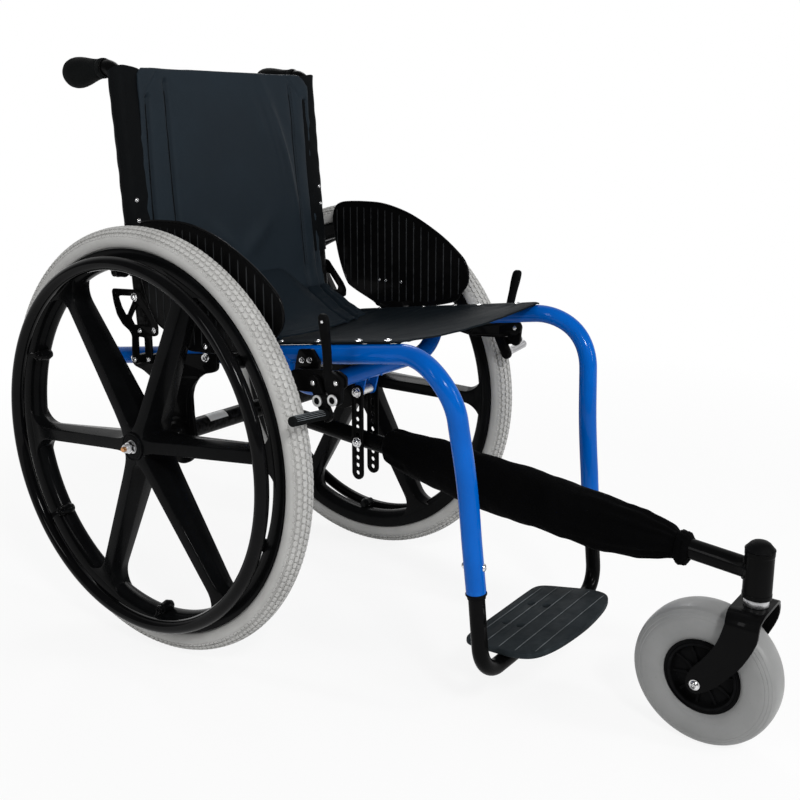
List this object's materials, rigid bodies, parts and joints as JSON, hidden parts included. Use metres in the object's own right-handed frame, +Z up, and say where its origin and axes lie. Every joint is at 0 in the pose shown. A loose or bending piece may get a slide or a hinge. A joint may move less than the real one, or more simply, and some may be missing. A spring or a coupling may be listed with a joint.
{
  "type": "all-terrain wheelchair",
  "caption": "Rigid-frame wheelchair with two large spoked wheels, a long front boom carrying one swivelling caster, a folding back, wheel locks and a footplate.",
  "frame": {"origin": "on the ground, under the centre of the chair's overall length and width", "axes": "+Z up, +Y towards the chair's rear, +X towards the rider's left, so the chair faces -Y"},
  "size_m": [0.5786, 1.129, 0.8388],
  "materials": {
    "blue_frame": "gloss",
    "black_frame": "satin",
    "black_plastic": "fine texture",
    "gloss_black": "gloss",
    "grip_rubber": "matte",
    "upholstery": "woven nylon",
    "knit": "ribbed knit",
    "tyre_light": "light grey rubber",
    "tyre_mid": "grey rubber",
    "chrome": "bright plated",
    "steel": "turned",
    "brass": "polished"
  },
  "bodies": {
    "frame": {"side_frame_right": "blue_frame", "side_frame_left": "blue_frame", "front_cross_tube": "blue_frame", "hanger_strap_right": "black_frame", "hanger_strap_left": "black_frame", "strap_spacer": "chrome", "strap_top_bolt": "chrome", "strap_lower_bolt": "chrome", "axle_tube": "black_frame", "boom_tube": "black_frame", "head_tube": "black_frame", "head_cap": "gloss_black", "boom_sleeve": "knit", "axle_bracket_right": "black_frame", "axle_bracket_left": "black_frame", "footrest_collar_right": "black_plastic", "footrest_collar_left": "black_plastic", "footrest_tube": "black_frame", "footplate": "black_plastic", "seat_sling": "upholstery", "seat_flap": "upholstery", "side_guard_right": "black_plastic", "side_guard_left": "black_plastic", "back_bracket_right": "black_frame", "back_bracket_left": "black_frame", "pivot_bolt_right": "chrome", "pivot_bolt_left": "chrome", "axle_pin_right": "steel", "axle_pin_left": "steel", "axle_nut_right": "chrome", "axle_nut_left": "chrome", "lock_mount_right": "black_frame", "lock_mount_left": "black_frame"},
    "folding_back": {"back_cane_right": "black_frame", "back_cane_left": "black_frame", "push_grip_right": "grip_rubber", "push_grip_left": "grip_rubber", "back_upholstery": "upholstery"},
    "caster_fork": {"caster_fork": "black_frame", "caster_stem": "chrome", "caster_axle_bolt": "chrome"},
    "caster_wheel": {"caster_tyre": "tyre_mid", "caster_hub": "black_plastic"},
    "right_wheel": {"wheel_right": "black_plastic", "hub_bearing_right": "steel", "tyre_right": "tyre_light", "handrim_right": "gloss_black"},
    "right_release_button": {"release_button_right": "brass"},
    "right_lock_lever": {"lock_lever_right": "black_plastic"},
    "right_lock_arm": {"lock_arm_right": "black_frame"},
    "right_lock_link": {"lock_link_right": "black_frame"},
    "left_wheel": {"wheel_left": "black_plastic", "hub_bearing_left": "steel", "tyre_left": "tyre_light", "handrim_left": "gloss_black"},
    "left_release_button": {"release_button_left": "brass"},
    "left_lock_lever": {"lock_lever_left": "black_plastic"},
    "left_lock_arm": {"lock_arm_left": "black_frame"},
    "left_lock_link": {"lock_link_left": "black_frame"}
  },
  "joints": [
    {"name": "right_wheel_spin", "type": "hinge", "parent": "frame", "child": "right_wheel", "pos_m": [-0.2428, 0.2595, 0.305], "axis": [1, 0, 0], "continuous": true},
    {"name": "right_release_button_press", "type": "slide", "parent": "frame", "child": "right_release_button", "axis": [1, 0, 0], "range_m": [0, 0.003], "stiffness_N_per_m": 400, "springref_m": -0.002},
    {"name": "right_lock_lever_turn", "type": "hinge", "parent": "frame", "child": "right_lock_lever", "pos_m": [-0.2123, -0.0695, 0.4361], "axis": [1, 0, 0], "range_deg": [-18, 16]},
    {"name": "right_lock_arm_turn", "type": "hinge", "parent": "frame", "child": "right_lock_arm", "pos_m": [-0.2123, -0.0324, 0.4311], "axis": [1, 0, 0], "range_deg": [-17.2, 15.3]},
    {"name": "right_lock_link_turn", "type": "hinge", "parent": "right_lock_lever", "child": "right_lock_link", "pos_m": [-0.2184, -0.0677, 0.4153], "axis": [1, 0, 0], "range_deg": [-23.8, 26.8]},
    {"name": "left_wheel_spin", "type": "hinge", "parent": "frame", "child": "left_wheel", "pos_m": [0.2428, 0.2595, 0.305], "axis": [1, 0, 0], "continuous": true},
    {"name": "left_release_button_press", "type": "slide", "parent": "frame", "child": "left_release_button", "axis": [-1, 0, 0], "range_m": [0, 0.003], "stiffness_N_per_m": 400, "springref_m": -0.002},
    {"name": "left_lock_lever_turn", "type": "hinge", "parent": "frame", "child": "left_lock_lever", "pos_m": [0.2123, -0.0695, 0.4361], "axis": [1, 0, 0], "range_deg": [-18, 16]},
    {"name": "left_lock_arm_turn", "type": "hinge", "parent": "frame", "child": "left_lock_arm", "pos_m": [0.2123, -0.0324, 0.4311], "axis": [1, 0, 0], "range_deg": [-17.2, 15.3]},
    {"name": "left_lock_link_turn", "type": "hinge", "parent": "left_lock_lever", "child": "left_lock_link", "pos_m": [0.2184, -0.0677, 0.4153], "axis": [1, 0, 0], "range_deg": [-23.8, 26.8]},
    {"name": "back_fold", "type": "hinge", "parent": "frame", "child": "folding_back", "pos_m": [0, 0.314, 0.5025], "axis": [1, 0, 0], "range_deg": [0, 85]},
    {"name": "caster_swivel", "type": "hinge", "parent": "frame", "child": "caster_fork", "pos_m": [0, -0.5265, 0.193], "axis": [0, 0, 1], "continuous": true},
    {"name": "caster_wheel_spin", "type": "hinge", "parent": "caster_fork", "child": "caster_wheel", "pos_m": [0, -0.4745, 0.09], "axis": [1, 0, 0], "continuous": true}
  ],
  "couplings": [
    {"joint": "right_lock_arm_turn", "follows": "right_lock_lever_turn", "ratio": 0.945},
    {"joint": "right_lock_link_turn", "follows": "right_lock_lever_turn", "ratio": -1.465},
    {"joint": "left_lock_arm_turn", "follows": "left_lock_lever_turn", "ratio": 0.945},
    {"joint": "left_lock_link_turn", "follows": "left_lock_lever_turn", "ratio": -1.465}
  ]
}
